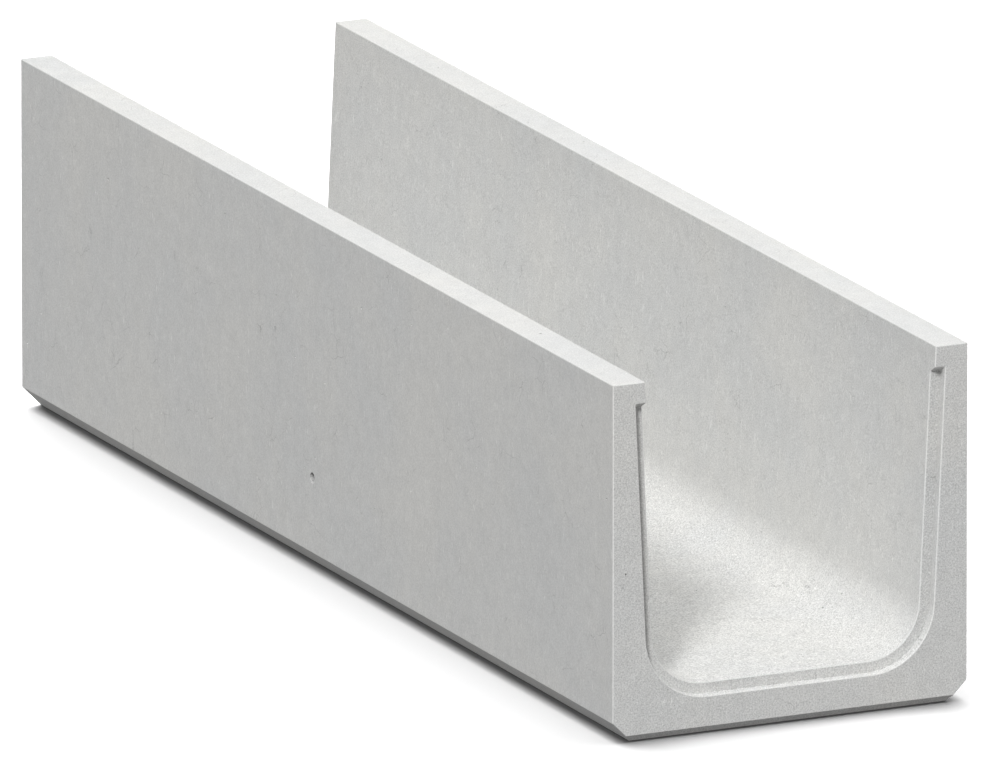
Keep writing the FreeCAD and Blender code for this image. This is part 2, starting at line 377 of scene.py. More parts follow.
def ring_of(shell, centre, across, up, inward, radius, depth, sides, squeeze=1.0):
    """A ring of new points round the centre, sunk by depth."""
    return [
        shell.verts.new(
            centre + inward * depth
            + across * (radius * math.cos(FULL_TURN * step / sides))
            + up * (radius * squeeze * math.sin(FULL_TURN * step / sides))
        )
        for step in range(sides)
    ]


def sew(shell, outer, inner, normal):
    """Fill between a face's corners and a round mouth. Both loops run anticlockwise."""

    def sees(corner, first, second):
        """Whether a corner lies outside a side of the mouth."""
        return (second.co - first.co).cross(corner.co - first.co).dot(normal) < 0

    def apart(first, second):
        return (first.co - second.co).length

    able = [step for step in range(len(outer)) if sees(outer[step], inner[-1], inner[0])]
    start = min(able, key=lambda step: apart(outer[step], inner[0]))
    outer = outer[start:] + outer[:start + 1]
    inner = inner + inner[:1]
    while len(outer) > 1 or len(inner) > 1:
        if len(outer) == 1 or len(inner) == 1:
            next_corner = len(inner) == 1
        elif sees(outer[0], *inner[:2]) and sees(outer[1], *inner[:2]):
            next_corner = apart(outer[1], inner[0]) < apart(outer[0], inner[1])
        else:
            next_corner = not sees(outer[0], *inner[:2])
        if next_corner:
            shell.faces.new((outer[0], outer[1], inner[0]))
            outer = outer[1:]
        else:
            shell.faces.new((outer[0], inner[1], inner[0]))
            inner = inner[1:]


def sink(shell, face, centre, profile, sides, turn=0.0, squeeze=1.0):
    """Sink a hole into a face. The profile lists radius and depth, from the mouth down."""
    inward = -face.normal
    across = (face.verts[1].co - face.verts[0].co).normalized()
    across = (across - inward * across.dot(inward)).normalized()
    up = face.normal.cross(across)
    across, up = (
        across * math.cos(turn) + up * math.sin(turn),
        up * math.cos(turn) - across * math.sin(turn),
    )
    outer = list(face.verts)
    shell.faces.remove(face)
    rings = [
        ring_of(shell, centre, across, up, inward, radius, depth, sides, squeeze)
        for radius, depth in profile
    ]
    sew(shell, outer, rings[0], -inward)
    for upper, lower in zip(rings, rings[1:]):
        for step in range(sides):
            after = (step + 1) % sides
            shell.faces.new((upper[step], upper[after], lower[after], lower[step]))
    shell.faces.new(rings[-1])


def face_round(shell, point):
    """The face whose middle is nearest to a point."""
    return min(shell.faces, key=lambda face: (face.calc_center_median() - point).length)


print("a hole takes its face out and sews itself in")

# %% [markdown]
# ### The two sockets
#
# Each side has a round socket half way along, for the pin of a setting aid. Its bore is
# straight, so the profile has two rings of the same size, one at the mouth and one at the end.

# %% Sink the sockets
SOCKET_SIDES = 32

bore = [(SOCKET_RADIUS, 0), (SOCKET_RADIUS, SOCKET_DEPTH)]
for side in (-1, 1):
    socket_face = face_round(shell, Vector((side * HALF_WIDTH, 0, SOCKET_HEIGHT)))
    sink(shell, socket_face, socket_face.calc_center_median(), bore, SOCKET_SIDES)
shell.normal_update()
print("2 sockets sunk,", SOCKET_DEPTH, "m deep")

# %% [markdown]
# ## Blow-holes
#
# Air that stays against the mould leaves small pits, here 0.7 to 2.3 mm across, about five
# hundred on a square metre. They could be painted or bumped, but a pit of real depth is dark
# inside under any light and from any side. Their places are drawn from a fixed seed. Most are
# small, which is what the cube in the size does, and one face of the skin holds one at most.
# Faces beside an arris are left alone, because the arris is rounded later. The underside has no
# blow-holes, because no mould lay against it.

# %% Scatter the blow-holes
BLOW_HOLE_SEED = 11
BLOW_HOLES = 620
SMALL_PORE = 0.35 * MM
PORE_RANGE = 0.8 * MM
PORE_DEPTH = (0.9, 1.6)
PORE_SQUEEZE = (0.7, 1.0)
PORE_BOWL = ((1.0, 0.0), (0.86, 0.6), (0.45, 1.0))
PORE_SIDES = 9
CLEAR_OF_EDGE = 1.3
LOOKS_DOWN = -0.9
SHARP = math.radians(25)


def beside_arris(face):
    """Whether a corner of the face lies on an arris."""
    return any(
        edge.calc_face_angle(0) > SHARP
        for vert in face.verts
        for edge in vert.link_edges
    )


def sink_blow_holes(shell, dice):
    """Sink all blow-holes into faces drawn by the dice. Gives back their radii."""
    open_faces = [
        face for face in shell.faces
        if len(face.verts) == 4 and face.normal.z > LOOKS_DOWN and not beside_arris(face)
    ]
    sizes = []
    for face in dice.sample(open_faces, BLOW_HOLES):
        radius = SMALL_PORE + PORE_RANGE * dice.random() ** 3
        a, b, c, d = (vert.co.copy() for vert in face.verts)
        room_across = CLEAR_OF_EDGE * radius / (b - a).length
        room_up = CLEAR_OF_EDGE * radius / (d - a).length
        along = dice.uniform(room_across, 1 - room_across)
        rise = dice.uniform(room_up, 1 - room_up)
        centre = a.lerp(b, along).lerp(d.lerp(c, along), rise)
        depth = radius * dice.uniform(*PORE_DEPTH)
        bowl = [(radius * wide, depth * deep) for wide, deep in PORE_BOWL]
        sink(
            shell, face, centre, bowl, PORE_SIDES,
            turn=dice.uniform(0, FULL_TURN), squeeze=dice.uniform(*PORE_SQUEEZE),
        )
        sizes.append(radius)
    return sizes


pore_sizes = sink_blow_holes(shell, random.Random(BLOW_HOLE_SEED))
print(len(pore_sizes), "blow-holes, the widest", round(2 * max(pore_sizes) / MM, 2), "mm across")

# %% [markdown]
# ## Rounded arrises
#
# No cast edge is a knife edge. Each one that stands out has a small round, and that round is
# what draws the bright line along it. The Bevel modifier makes it. Its width is measured along
# the face, so an edge that turns by less than a right angle needs less of it for the same
# radius. The bevel weight of each edge takes care of that: it is the tangent of half the turn.
# Edges that fold inwards stay sharp as cast, apart from the two upper corners of the rebate.
# The rims of holes stay sharp too, and are known by the small faces beside them.

# %% Weigh the edges that get a round
NEAR = 2 * WAVER
SMALLEST_SKIN_FACE = 9 * MM * MM


def is_rebate_corner(edge):
    """One of the two short edges where the rebate's wall meets its sloping ceiling."""
    first, second = (vert.co for vert in edge.verts)
    front, back = sorted((first, second), key=lambda point: point.y)
    return (
        abs(front.y + HALF_LENGTH) < NEAR
        and abs(front.z - ceiling_front_z) < NEAR
        and abs(back.z - ceiling_back_z) < NEAR
        and abs(front.x) > mouth_x + SEAL_REACH / 2
    )


def between_skin_faces(edge):
    """Whether both faces at the edge are sides of bricks."""
    return all(
        len(face.verts) == 4 and face.calc_area() > SMALLEST_SKIN_FACE
        for face in edge.link_faces
    )


def weigh_arrises(shell):
    """Give each arris its bevel weight. Gives back how many there are."""
    weights = shell.edges.layers.float.new("bevel_weight_edge")
    count = 0
    for edge in shell.edges:
        turn = edge.calc_face_angle(0)
        if turn < SHARP or not between_skin_faces(edge):
            continue
        if edge.is_convex:
            edge[weights] = math.tan(turn / 2) * ARRIS_RADIUS / REBATE_CORNER_RADIUS
            count += 1
        elif is_rebate_corner(edge):
            edge[weights] = math.tan(turn / 2)
            count += 1
    return count


rounded = weigh_arrises(shell)
print(rounded, "edges get a round of", ARRIS_RADIUS, "m")

# %% [markdown]
# ## The casting as an object
#
# The object gets its three finishes here, still empty, because the Bevel modifier can then hand
# the faces it makes to one of them: the arris finish, whose faces get a painted highlight.

# %% Make the object, with its three finishes
FINISHES = ["moulded_concrete", "struck_underside", "arris_with_painted_highlight"]
STRUCK = FINISHES.index("struck_underside")
ARRIS_HIGHLIGHT_FINISH = FINISHES.index("arris_with_painted_highlight")
ARRIS_SEGMENTS = 3

channel_mesh = bpy.data.meshes.new("cast_channel")
shell.to_mesh(channel_mesh)
shell.free()
for finish in FINISHES:
    channel_mesh.materials.append(bpy.data.materials.new(finish))
channel = bpy.data.objects.new("cast_channel", channel_mesh)
bpy.context.scene.collection.objects.link(channel)

arris_round = channel.modifiers.new("arris_round", "BEVEL")
arris_round.material = ARRIS_HIGHLIGHT_FINISH
arris_round.limit_method = "WEIGHT"
arris_round.width = REBATE_CORNER_RADIUS
arris_round.segments = ARRIS_SEGMENTS
arris_round.use_clamp_overlap = True
print(len(channel_mesh.polygons), "faces before the rounds,", ARRIS_SEGMENTS, "steps in a round")

# %% [markdown]
# ### Keep the rounded mesh
#
# The modifier could stay, but each face gets notes about its finish later, and notes need faces
# that are there. So the rounded mesh is put in place of the drawn one. It shades smoothly across
# the rounds, and the rims of the holes stay crisp. A last modifier lets the large faces set the
# shading, or each flat face would look slightly domed next to its rounds.

# %% Keep the rounded mesh and set its shading
PORE_RIM = math.radians(38)


def keep_modified(piece):
    """Put the mesh as modified in place of the drawn one."""
    graph = bpy.context.evaluated_depsgraph_get()
    made = bpy.data.meshes.new_from_object(piece.evaluated_get(graph))
    piece.modifiers.clear()
    piece.data = made
    return made


channel_mesh = keep_modified(channel)
channel_mesh.shade_smooth()
channel_mesh.set_sharp_from_angle(angle=PORE_RIM)
face_first = channel.modifiers.new("flat_faces_first", "WEIGHTED_NORMAL")
face_first.keep_sharp = True
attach(channel, "root")
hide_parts(NODE)
channel_mesh.calc_loop_triangles()
print(len(channel_mesh.loop_triangles), "triangles in the casting")

# %% [markdown]
# ## Effects as node groups
#
# The casting has three finishes: the faces that lay against steel, the underside, which was the
# open top of the mould and was struck off and floated by hand, and the rubbed arrises. All are
# the same concrete, so each effect is a node group that is made once and then used by every
# finish. A group has named inputs and gives back only tones, masks and heights.
#
# Laying out nodes one by one takes many lines, so four helpers come first. They make a group with
# its sockets, a node with its settings and links, a Math node, and a pattern stretched along an
# axis.

# %% Helpers for node groups
def new_group(name, inputs, outputs):
    """An empty group with value inputs and outputs. Returns it and its two end nodes."""
    group = bpy.data.node_groups.new(name, "ShaderNodeTree")
    vector = group.interface.new_socket("Place", in_out="INPUT", socket_type="NodeSocketVector")
    vector.hide_value = True
    for label, value in inputs.items():
        socket = group.interface.new_socket(
            label, in_out="INPUT", socket_type="NodeSocketFloat"
        )
        socket.default_value = value
    for label in outputs:
        group.interface.new_socket(label, in_out="OUTPUT", socket_type="NodeSocketFloat")
    return group, group.nodes.new("NodeGroupInput"), group.nodes.new("NodeGroupOutput")


def add_node(tree, kind, settings=None, **inputs):
    """A node with its settings, and with inputs that are given a value or linked to an output.

    An input goes by its label, or by i and its number where several have the same label.
    """
    node = tree.nodes.new(kind)
    for name, value in (settings or {}).items():
        setattr(node, name, value)
    for name, value in inputs.items():
        key = int(name[1:]) if name[0] == "i" and name[1:].isdigit() else name.replace("_", " ")
        if isinstance(value, bpy.types.NodeSocket):
            tree.links.new(value, node.inputs[key])
        else:
            node.inputs[key].default_value = value
    return node


def math_of(tree, operation, first, second, third=0.0):
    """The result of a Math node. MULTIPLY_ADD is first times second, plus third."""
    return add_node(
        tree, "ShaderNodeMath", {"operation": operation}, i0=first, i1=second, i2=third,
    ).outputs[0]


def stretched(tree, place, factor):
    """The place scaled by a factor along each axis."""
    return add_node(
        tree, "ShaderNodeVectorMath", {"operation": "MULTIPLY"}, i0=place, i1=factor
    ).outputs[0]


print("a group has sockets of its own, and inputs with a name and a value")

# %% [markdown]
# ### Cement clouds
#
# Cement paste dries in clouds, paler where more lime came to the skin. Two sizes of soft noise
# make them: hand-wide ones, and finger-wide ones inside those. Noise lies around one half, which
# is taken off, so that a material can add the tone in any strength without a change of its mean
# colour. The wide clouds alone come out too, and turn the hue: paler paste is a little warmer.

# %% Build the cement clouds
MEAN_NOISE = 0.5


def cement_clouds():
    group, given, result = new_group(
        "cement_clouds", {"Wide": 9.0, "Narrow": 90.0, "Share of narrow": 1.6}, ["Tone", "Wide"]
    )
    wide = add_node(
        group, "ShaderNodeTexNoise", Vector=given.outputs["Place"],
        Scale=given.outputs["Wide"], Detail=3.0, Roughness=0.55,
    )
    narrow = add_node(
        group, "ShaderNodeTexNoise", Vector=given.outputs["Place"],
        Scale=given.outputs["Narrow"], Detail=4.0, Roughness=0.65,
    )
    wide_tone = math_of(group, "SUBTRACT", wide.outputs[0], MEAN_NOISE)
    narrow_tone = math_of(group, "SUBTRACT", narrow.outputs[0], MEAN_NOISE)
    both = math_of(
        group, "MULTIPLY_ADD", narrow_tone, given.outputs["Share of narrow"], wide_tone
    )
    group.links.new(both, result.inputs["Tone"])
    group.links.new(wide_tone, result.inputs["Wide"])
    return group


clouds_group = cement_clouds()
print("group:", clouds_group.name)

# %% [markdown]
# ### Mould streaks
#
# Release oil runs down the mould before the concrete goes in, and leaves faint upright streaks.
# The noise is squeezed along the height, which stretches the pattern that way. On level faces
# nothing is stretched, because they cut the pattern across.

# %% Build the mould streaks
STREAK_SQUEEZE = (1.0, 1.0, 0.16)


def mould_streaks():
    group, given, result = new_group(
        "mould_streaks", {"Fineness": 230.0, "Breaks": 14.0}, ["Tone"]
    )
    squeezed = stretched(group, given.outputs["Place"], STREAK_SQUEEZE)
    lines = add_node(
        group, "ShaderNodeTexNoise", Vector=squeezed,
        Scale=given.outputs["Fineness"], Detail=3.0, Roughness=0.6,
    )
    patches = add_node(
        group, "ShaderNodeTexNoise", Vector=given.outputs["Place"],
        Scale=given.outputs["Breaks"], Detail=2.0,
    )
    tone = math_of(group, "SUBTRACT", lines.outputs[0], MEAN_NOISE)
    group.links.new(math_of(group, "MULTIPLY", tone, patches.outputs[0]), result.inputs["Tone"])
    return group


streaks_group = mould_streaks()
print("group:", streaks_group.name)

# %% [markdown]
# ### Sand in the skin
#
# Close up, the skin is full of fine sand under a film of cement. Two noises, of about one
# millimetre and of about a third of one, give a height for the bump. The same height, less its
# mean, is the speckle in the colour.

# %% Build the sand grain
FINE_SAND = 0.4


def sand_grain():
    group, given, result = new_group(
        "sand_grain", {"Coarse": 900.0, "Fine": 2600.0}, ["Height", "Speckle"]
    )
    coarse = add_node(
        group, "ShaderNodeTexNoise", Vector=given.outputs["Place"],
        Scale=given.outputs["Coarse"], Detail=2.0, Roughness=0.5,
    )
    fine = add_node(
        group, "ShaderNodeTexNoise", Vector=given.outputs["Place"],
        Scale=given.outputs["Fine"], Detail=1.0, Roughness=0.5,
    )
    height = math_of(group, "MULTIPLY_ADD", fine.outputs[0], FINE_SAND, coarse.outputs[0])
    speckle = math_of(group, "SUBTRACT", height, MEAN_NOISE * (1 + FINE_SAND))
    group.links.new(height, result.inputs["Height"])
    group.links.new(speckle, result.inputs["Speckle"])
    return group


grain_group = sand_grain()
print("group:", grain_group.name)

# %% [markdown]
# ### Pinholes
#
# Below the size of a modelled blow-hole there are many more pinholes, too small to be worth
# their faces. A cell pattern gives each cell a centre, and a pinhole is what lies near it. A
# second value, the cell's own random one, leaves most cells without any. The mask darkens the
# colour and lowers the bump.

# %% Build the pinholes
def pinholes():
    group, given, result = new_group(
        "pinholes", {"Cells": 200.0, "Radius": 0.13, "Share": 0.35}, ["Mask"]
    )
    cells = add_node(
        group, "ShaderNodeTexVoronoi", Vector=given.outputs["Place"],
        Scale=given.outputs["Cells"], Randomness=1.0,
    )
    lot = add_node(group, "ShaderNodeSeparateColor", i0=cells.outputs["Color"])
    chosen = math_of(group, "LESS_THAN", lot.outputs[0], given.outputs["Share"])
    radius = math_of(group, "MULTIPLY", given.outputs["Radius"], lot.outputs[1])
    near = add_node(
        group, "ShaderNodeMapRange", {"interpolation_type": "SMOOTHSTEP"},
        Value=cells.outputs["Distance"], From_Min=radius, From_Max=0.0,
    )
    mask = math_of(group, "MULTIPLY", near.outputs[0], chosen)
    group.links.new(mask, result.inputs["Mask"])
    return group


pinholes_group = pinholes()
print("group:", pinholes_group.name)

# %% [markdown]
# ### Drawn marks
#
# When the casting is drawn out of its mould, sand grains between them draw short upright
# scratches. They are the peaks of a noise squeezed along the height: a peak that reaches over a
# threshold shows, everything below it doesn't, so the marks stand apart from each other.

# %% Build the drawn marks
MARK_SQUEEZE = (1.0, 1.0, 0.24)
FULL_MARK = 0.8


def drawn_marks():
    group, given, result = new_group(
        "drawn_marks", {"Fineness": 560.0, "Threshold": 0.64}, ["Mask"]
    )
    squeezed = stretched(group, given.outputs["Place"], MARK_SQUEEZE)
    peaks = add_node(
        group, "ShaderNodeTexNoise", Vector=squeezed,
        Scale=given.outputs["Fineness"], Detail=1.0, Roughness=0.5,
    )
    mask = add_node(
        group, "ShaderNodeMapRange", Value=peaks.outputs[0],
        From_Min=given.outputs["Threshold"], From_Max=FULL_MARK,
    )
    group.links.new(mask.outputs[0], result.inputs["Mask"])
    return group


marks_group = drawn_marks()
print("group:", marks_group.name)

# %% [markdown]
# ### Crazing
#
# The outermost film of cement shrinks as it dries and splits into a net of hairlines. The net is
# the borders of a cell pattern, bent by a noise so that no line is straight. A second noise
# hides almost all of it: crazing shows in patches, and on a good casting you have to look for it.

# %% Build the crazing
BEND_FINENESS = 120.0
BEND_REACH = 6 * MM
PATCH_FINENESS = 38.0
FULL_PATCH = 0.72


def crazing():
    group, given, result = new_group(
        "crazing", {"Cells": 55.0, "Line width": 0.016, "Hidden": 0.55}, ["Mask"]
    )
    bend = add_node(
        group, "ShaderNodeTexNoise", Vector=given.outputs["Place"],
        Scale=BEND_FINENESS, Detail=2.0,
    )
    shift = add_node(
        group, "ShaderNodeVectorMath", {"operation": "SCALE"},
        i0=bend.outputs["Color"], Scale=BEND_REACH,
    )
    bent = add_node(
        group, "ShaderNodeVectorMath", {"operation": "ADD"},
        i0=given.outputs["Place"], i1=shift.outputs[0],
    )
    net = add_node(
        group, "ShaderNodeTexVoronoi", {"feature": "DISTANCE_TO_EDGE"},
        Vector=bent.outputs[0], Scale=given.outputs["Cells"],
    )
    line = add_node(
        group, "ShaderNodeMapRange", Value=net.outputs["Distance"],
        From_Min=given.outputs["Line width"], From_Max=0.0,
    )
    patches = add_node(
        group, "ShaderNodeTexNoise", Vector=given.outputs["Place"],
        Scale=PATCH_FINENESS, Detail=2.0,
    )
    shown = add_node(
        group, "ShaderNodeMapRange", Value=patches.outputs[0],
        From_Min=given.outputs["Hidden"], From_Max=FULL_PATCH,
    )
    mask = math_of(group, "MULTIPLY", line.outputs[0], shown.outputs[0])
    group.links.new(mask, result.inputs["Mask"])
    return group


crazing_group = crazing()
print("group:", crazing_group.name)

# %% [markdown]
# ### Painted shade in corners
#
# In hollows such as the seal rebate, the sockets and the blow-holes, the colour is darkened. This
# is painted shade, where the casting closes round a point. The Ambient Occlusion node finds such
# places by itself, because it measures how much of the open space round a point is filled by the
# casting. It costs some render time, so it takes few samples and looks only a centimetre far.

# %% Build the painted corner shade
def painted_corner_shade():
    group, given, result = new_group("painted_corner_shade", {"Reach": 0.010, "Edge": 0.5}, ["Mask"])
    shelter = add_node(
        group, "ShaderNodeAmbientOcclusion", {"samples": 6, "only_local": True},
        Distance=given.outputs["Reach"],
    )
    mask = add_node(
        group, "ShaderNodeMapRange", {"interpolation_type": "SMOOTHSTEP"},
        Value=shelter.outputs["AO"], From_Min=given.outputs["Edge"], From_Max=0.0,
    )
    group.links.new(mask.outputs[0], result.inputs["Mask"])
    return group


corner_shade_group = painted_corner_shade()
print("group:", corner_shade_group.name)

# %% [markdown]
# ## Where the sand shows
#
# The mould's steel sides give the closest skin. The ends are cast against end plates, where more
# sand reaches the surface, and the trough floor lies under the whole casting in the mould, where
# it settles. A number on every face says how much of the sand shows there. It follows the way
# the face looks, without steps, so there is no seam where a wall turns into the floor.
#
# A second number says how much paler a face is than the rest, and all of it is painted light.
# Arris faces get a painted highlight, upright ones most. The trough floor and its rounded corners
# are painted lighter the more they face up, and the two ends are painted a little lighter than
# the sides.

# %% Note on each face how sandy it is and how much painted light it gets
SANDY_WALL = 1.0
SANDY_SIDE = 0.65
SANDY_END = 1.6
SANDY_TOP = 0.9
SANDY_FLOOR = 2.2
SANDY = "sandiness"
PAINTED_LIGHT = "painted_lightness"
ARRIS_PAINTED_HIGHLIGHT = 0.25
FLOOR_PAINTED_LIGHT = 0.034
END_PAINTED_LIGHT = 0.045
FLOOR_LIGHT_CLIMB = 2
FACES_OUT = 0.5


def sandiness(face):
    """How much of the sand shows on a face."""
    outward = face.normal.x * (1 if face.center.x > 0 else -1)
    upright = SANDY_SIDE if outward > FACES_OUT else SANDY_WALL
    level = SANDY_TOP if face.center.z > HEIGHT / 2 else SANDY_FLOOR
    return (
        upright
        + (SANDY_END - upright) * abs(face.normal.y)
        + (level - upright) * max(0.0, face.normal.z)
    )


def painted_lightness(face):
    """How much painted light a face gets, as how much paler it is than the mean colour."""
    if face.material_index == ARRIS_HIGHLIGHT_FINISH:
        # painted highlight on the arris faces, strongest on upright ones
        return ARRIS_PAINTED_HIGHLIGHT * (1 - abs(face.normal.z))
    if abs(face.center.y) > HALF_LENGTH - MM:
        # painted light: both end faces are a little lighter than the sides
        return END_PAINTED_LIGHT
    if face.center.z < HEIGHT / 2:
        # painted light: low faces are lighter the more they face up
        return FLOOR_PAINTED_LIGHT * min(1.0, FLOOR_LIGHT_CLIMB * max(0.0, face.normal.z))
    return 0.0


for label, measure in ((SANDY, sandiness), (PAINTED_LIGHT, painted_lightness)):
    noted = channel_mesh.attributes.new(label, "FLOAT", "FACE")
    noted.data.foreach_set("value", [measure(face) for face in channel_mesh.polygons])
print("sandiness and paleness noted on", len(channel_mesh.polygons), "faces")

# %% [markdown]
# ## Three finishes of one concrete
#
# All finishes add tones to one mean colour. Three materials made by hand would repeat each other
# node by node, so one function fills them all, and its numbers say how strong each effect is.
# Concrete is matt, so the roughness is high and wanders a little with the clouds. Paste goes from
# a cool to a warm grey, and the two are so close that it reads as life, not as colour.

# %% One recipe for a concrete finish
COOL_PASTE = (0.647, 0.651, 0.645)
WARM_PASTE = (0.655, 0.653, 0.637)
HUE_STRENGTH = 4.0
MID_HUE = 0.5
ROUGHNESS_WANDER = 0.25
MATT_SPECULAR = 0.25
HOLE_RELIEF = -1.5
RELIEF_HEIGHT = 0.4 * MM
DRAG_SQUEEZE = (1.0, 0.05, 1.0)
DRAG_FINENESS = 220.0


def placed_group(tree, group, place, **values):
    """One of the effects, placed in a material with its own values."""
    return add_node(tree, "ShaderNodeGroup", {"node_tree": group}, Place=place, **values)


def concrete(
    name, cloud, streak, mark, craze, speckle, hole, corner_shade_strength, bump, roughness,
    drag=0.0, cloud_fineness=9.0, sand_fineness=900.0,
):
    """Fill one finish. The numbers say how strong or how fine each effect is."""
    material = bpy.data.materials[name]
    material.use_nodes = True
    tree = material.node_tree
    shader = tree.nodes["Principled BSDF"]
    place = tree.nodes.new("ShaderNodeTexCoord").outputs["Object"]

    clouds = placed_group(tree, clouds_group, place, Wide=cloud_fineness)
    streaks = placed_group(tree, streaks_group, place)
    grain = placed_group(tree, grain_group, place, Coarse=sand_fineness)
    holes = placed_group(tree, pinholes_group, place)
    marks = placed_group(tree, marks_group, place)
    net = placed_group(tree, crazing_group, place)
    corners = placed_group(tree, corner_shade_group, place)
    sandy = add_node(tree, "ShaderNodeAttribute", {"attribute_name": SANDY}).outputs["Fac"]
    painted_light_tone = add_node(tree, "ShaderNodeAttribute", {"attribute_name": PAINTED_LIGHT}).outputs["Fac"]
    sand = math_of(tree, "MULTIPLY", grain.outputs["Speckle"], sandy)

    tone = math_of(tree, "MULTIPLY_ADD", clouds.outputs["Tone"], cloud, 1.0)
    # painted light: the tone is raised by the face's note
    tone = math_of(tree, "ADD", tone, painted_light_tone)
    tone = math_of(tree, "MULTIPLY_ADD", streaks.outputs["Tone"], streak, tone)
    tone = math_of(tree, "MULTIPLY_ADD", marks.outputs["Mask"], mark, tone)
    tone = math_of(tree, "MULTIPLY_ADD", net.outputs["Mask"], -craze, tone)
    tone = math_of(tree, "MULTIPLY_ADD", sand, speckle, tone)
    tone = math_of(tree, "MULTIPLY_ADD", holes.outputs["Mask"], -hole, tone)
    # painted shade: darker where the casting closes round a point
    tone = math_of(tree, "MULTIPLY_ADD", corners.outputs["Mask"], -corner_shade_strength, tone)

    warmth = math_of(tree, "MULTIPLY_ADD", clouds.outputs["Wide"], HUE_STRENGTH, MID_HUE)
    paste = add_node(
        tree, "ShaderNodeMix", {"data_type": "RGBA", "clamp_factor": True},
        i0=warmth, i6=(*COOL_PASTE, 1), i7=(*WARM_PASTE, 1),
    ).outputs[2]
    tint = add_node(
        tree, "ShaderNodeVectorMath", {"operation": "SCALE"}, i0=paste, Scale=tone,
    )
    tree.links.new(tint.outputs[0], shader.inputs["Base Color"])

    rough = math_of(tree, "MULTIPLY_ADD", clouds.outputs["Tone"], ROUGHNESS_WANDER, roughness)
    tree.links.new(rough, shader.inputs["Roughness"])
    shader.inputs["Specular IOR Level"].default_value = MATT_SPECULAR

    height = math_of(tree, "MULTIPLY", grain.outputs["Height"], sandy)
    height = math_of(tree, "MULTIPLY_ADD", holes.outputs["Mask"], HOLE_RELIEF, height)
    if drag:
        along = stretched(tree, place, DRAG_SQUEEZE)
        trail = add_node(
            tree, "ShaderNodeTexNoise", Vector=along, Scale=DRAG_FINENESS, Detail=3.0,
        )
        height = math_of(tree, "MULTIPLY_ADD", trail.outputs[0], drag, height)
    relief = add_node(
        tree, "ShaderNodeBump", Strength=bump, Distance=RELIEF_HEIGHT, Height=height,
    )
    tree.links.new(relief.outputs["Normal"], shader.inputs["Normal"])


print("mean paste colour:", [round((c + w) / 2, 3) for c, w in zip(COOL_PASTE, WARM_PASTE)])

# %% [markdown]
# ### The three finishes
#
# Where the casting lay against steel, every effect shows a little. The struck underside has
# stronger and wider clouds, coarser sand, no upright streaks, and drag marks from the board that
# levelled it. The arris faces show no clouds, only sand and a little painted corner shade; their
# painted highlight comes from the note on each face.

# %% Mix the three finishes
concrete(
    "moulded_concrete", cloud=0.14, streak=0.07, mark=0.22, craze=0.36, speckle=0.66, hole=0.75,
    corner_shade_strength=0.62, bump=0.35, roughness=0.85,
)
concrete(
    "struck_underside", cloud=0.25, streak=0.0, mark=0.0, craze=0.10, speckle=0.60, hole=0.35,
    corner_shade_strength=0.30, bump=0.60, roughness=0.92, drag=2.0, cloud_fineness=6.0, sand_fineness=650.0,
)
concrete(
    "arris_with_painted_highlight", cloud=0.0, streak=0.0, mark=0.0, craze=0.0, speckle=0.40, hole=0.0,
    corner_shade_strength=0.30, bump=0.20, roughness=0.80,
)
print("finishes:", FINISHES)

# %% [markdown]
# ### Which faces are the underside
#
# The channel is cast upside down, so its underside was the open top of the mould. Its faces are
# known by looking straight down and by lying on the ground. The arrises round it already have a
# finish of their own, because their faces don't look straight down.

# %% Give the underside its own finish
UNDERSIDE_TOP = 0.5 * MM
STRAIGHT_DOWN = -0.99

underside = [
    face for face in channel_mesh.polygons
    if face.normal.z < STRAIGHT_DOWN and face.center.z < UNDERSIDE_TOP
]
for face in underside:
    face.material_index = STRUCK
print(len(underside), "faces of the underside are struck, the rest lay against the mould")

# %% [markdown]
# ## The camera
#
# The picture was taken as a parallel view: its long edges never draw together. A parallel
# camera would copy that, but it would also crop the channel in every view that shows more of
# its length. A very long lens from far away comes within a few pixels of it, and it can step
# back for the other views as any lens can. Its direction was worked out from the three edges
# that meet in the near corner, and it aims a little beside the middle, as the picture does.

# %% Set up the long lens
LENS = 1340.0
SENSOR = 36.0
CAMERA_TURN = math.radians(25.106)
CAMERA_FALL = math.radians(15.101)
CAMERA_AWAY = 26.137
NOTHING_NEARER = 1.0
AIM_RIGHT = 4.32 * MM
AIM_UP = -7.11 * MM

looking = Vector((
    math.sin(CAMERA_TURN) * math.cos(CAMERA_FALL),
    math.cos(CAMERA_TURN) * math.cos(CAMERA_FALL),
    -math.sin(CAMERA_FALL),
))
sideways = Vector((math.cos(CAMERA_TURN), -math.sin(CAMERA_TURN), 0))
upwards = sideways.cross(looking)
aim = (cad_low + cad_high) / 2 + sideways * AIM_RIGHT + upwards * AIM_UP

camera_data = bpy.data.cameras.new("long_lens")
camera_data.lens = LENS
camera_data.sensor_width = SENSOR
camera_data.clip_start = NOTHING_NEARER
camera_data.clip_end = 2 * CAMERA_AWAY
camera = bpy.data.objects.new("long_lens", camera_data)
camera.location = aim - looking * CAMERA_AWAY
camera.rotation_mode = "QUATERNION"
camera.rotation_quaternion = looking.to_track_quat("-Z", "Y")
bpy.context.scene.collection.objects.link(camera)
bpy.context.scene.camera = camera
print("camera", CAMERA_AWAY, "m away, lens", LENS, "mm")

# %% [markdown]
# ## The light of the studio
#
# A picture of the studio could light the scene, but a plain dome does the same and can be tuned:
# bright overhead and dark at the rim, so that level faces are palest and upright ones greyer.
# Below the rim it stands for the light that a pale floor sends back up. The camera and shiny
# surfaces see it as plain white, which Light Path tells apart.

# %% Put up the dome
UNDER_LIGHT = 0.25
RIM_LIGHT = 0.0
ZENITH_LIGHT = 0.985


